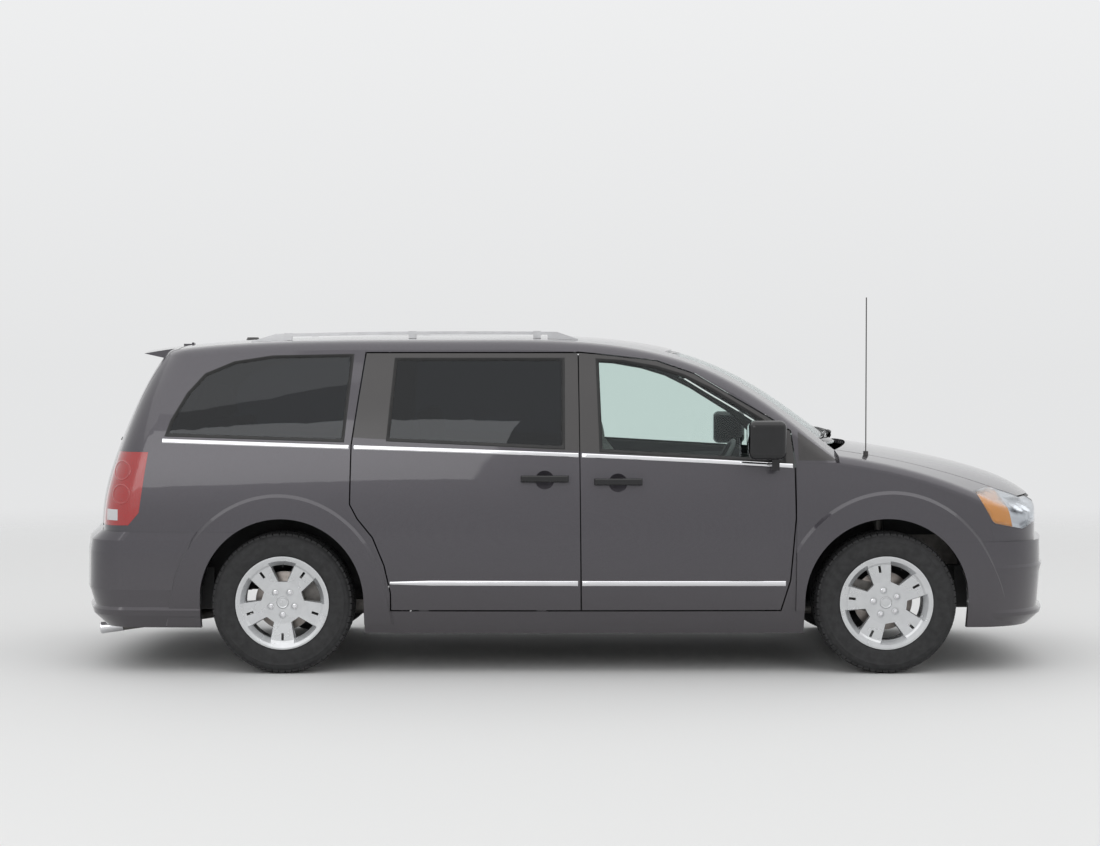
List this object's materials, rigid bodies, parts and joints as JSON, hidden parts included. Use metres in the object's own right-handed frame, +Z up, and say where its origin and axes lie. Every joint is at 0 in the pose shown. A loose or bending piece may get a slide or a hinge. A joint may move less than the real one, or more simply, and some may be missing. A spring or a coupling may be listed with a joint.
{
  "type": "minivan",
  "caption": "Full-size minivan with swinging front doors, sliding side doors, a top-hinged liftgate, roof rails and alloy wheels.",
  "frame": {"origin": "on the ground, under the middle of the bounding box", "axes": "+X forward, +Y to the vehicle's left, +Z up"},
  "size_m": [5.15, 2.29, 1.9224],
  "materials": {
    "paint": "metallic clear coat",
    "black_trim": "satin",
    "grey_trim": "satin",
    "silver_rail": "satin anodised",
    "alloy": "painted silver",
    "tyre_rubber": "matte",
    "clear_glass": "clear, slightly green",
    "dark_glass": "dark privacy tint",
    "lamp_clear": "clear lens",
    "lamp_red": "red lens",
    "chassis": "matte undercoat",
    "steel": "cast and machined",
    "seat_fabric": "woven",
    "dash_plastic": "grained",
    "aerial": "black coated"
  },
  "bodies": {
    "body": {"underbody": "chassis", "body_side_right": "paint", "body_side_left": "paint", "roof": "paint", "fenders": "paint", "front_bumper": "paint", "rear_bumper": "paint", "grille": "black_trim", "headlamps": "lamp_clear", "tail_lamps": "lamp_red", "windshield": "clear_glass", "side_glass": "dark_glass", "sails": "grey_trim", "sliding_doors": "paint", "front_structure": "chassis", "inner_frames": "chassis", "cowl": "black_trim", "sliding_handles": "black_trim", "roof_rails": "silver_rail", "engine": "steel", "dashboard": "dash_plastic", "steering_wheel": "dash_plastic", "front_seats": "seat_fabric", "middle_seats": "seat_fabric", "bench": "seat_fabric", "rear_axle": "steel", "front_subframe": "chassis", "exhaust": "steel", "fuel_tank": "chassis", "antenna": "aerial"},
    "hood": {"hood": "paint"},
    "liftgate": {"liftgate": "paint", "liftgate_glass": "dark_glass"},
    "fuel_door": {"fuel_door": "paint"},
    "door_right": {"front_door_right": "paint", "door_glass_right": "clear_glass", "door_handle_right": "black_trim", "mirror_right": "black_trim"},
    "steered_right": {"upright_right": "steel"},
    "front_wheel_right": {"tyre_front_right": "tyre_rubber", "rim_front_right": "alloy"},
    "rear_wheel_right": {"tyre_rear_right": "tyre_rubber", "rim_rear_right": "alloy"},
    "door_left": {"front_door_left": "paint", "door_glass_left": "clear_glass", "door_handle_left": "black_trim", "mirror_left": "black_trim"},
    "steered_left": {"upright_left": "steel"},
    "front_wheel_left": {"tyre_front_left": "tyre_rubber", "rim_front_left": "alloy"},
    "rear_wheel_left": {"tyre_rear_left": "tyre_rubber", "rim_rear_left": "alloy"}
  },
  "joints": [
    {"name": "steer_right", "type": "hinge", "parent": "body", "child": "steered_right", "pos_m": [1.632, -0.708, 0.362], "axis": [0, 0.2079, 0.9781], "range_deg": [-30, 30]},
    {"name": "front_wheel_spin_right", "type": "hinge", "parent": "steered_right", "child": "front_wheel_right", "pos_m": [1.632, -0.825, 0.362], "axis": [0, 1, 0], "continuous": true},
    {"name": "rear_wheel_spin_right", "type": "hinge", "parent": "body", "child": "rear_wheel_right", "pos_m": [-1.446, -0.825, 0.362], "axis": [0, 1, 0], "continuous": true},
    {"name": "front_door_hinge_right", "type": "hinge", "parent": "body", "child": "door_right", "pos_m": [1.08, -0.922, 0.7], "axis": [0, 0, 1], "range_deg": [0, 68]},
    {"name": "steer_left", "type": "hinge", "parent": "body", "child": "steered_left", "pos_m": [1.632, 0.708, 0.362], "axis": [0, -0.2079, 0.9781], "range_deg": [-30, 30]},
    {"name": "front_wheel_spin_left", "type": "hinge", "parent": "steered_left", "child": "front_wheel_left", "pos_m": [1.632, 0.825, 0.362], "axis": [0, 1, 0], "continuous": true},
    {"name": "rear_wheel_spin_left", "type": "hinge", "parent": "body", "child": "rear_wheel_left", "pos_m": [-1.446, 0.825, 0.362], "axis": [0, 1, 0], "continuous": true},
    {"name": "front_door_hinge_left", "type": "hinge", "parent": "body", "child": "door_left", "pos_m": [1.08, 0.922, 0.7], "axis": [0, 0, -1], "range_deg": [0, 68]},
    {"name": "hood_hinge", "type": "hinge", "parent": "body", "child": "hood", "pos_m": [1.392, 0, 1.11], "axis": [0, -1, 0], "range_deg": [0, 50]},
    {"name": "liftgate_hinge", "type": "hinge", "parent": "body", "child": "liftgate", "pos_m": [-2.007, 0, 1.69], "axis": [0, 1, 0], "range_deg": [0, 80]},
    {"name": "fuel_door_hinge", "type": "hinge", "parent": "body", "child": "fuel_door", "pos_m": [-1.8465, 0.9336, 0.998], "axis": [0, 0.1431, -0.9897], "range_deg": [0, 85]}
  ],
  "couplings": [
    {"joint": "steer_left", "follows": "steer_right", "ratio": 1}
  ]
}
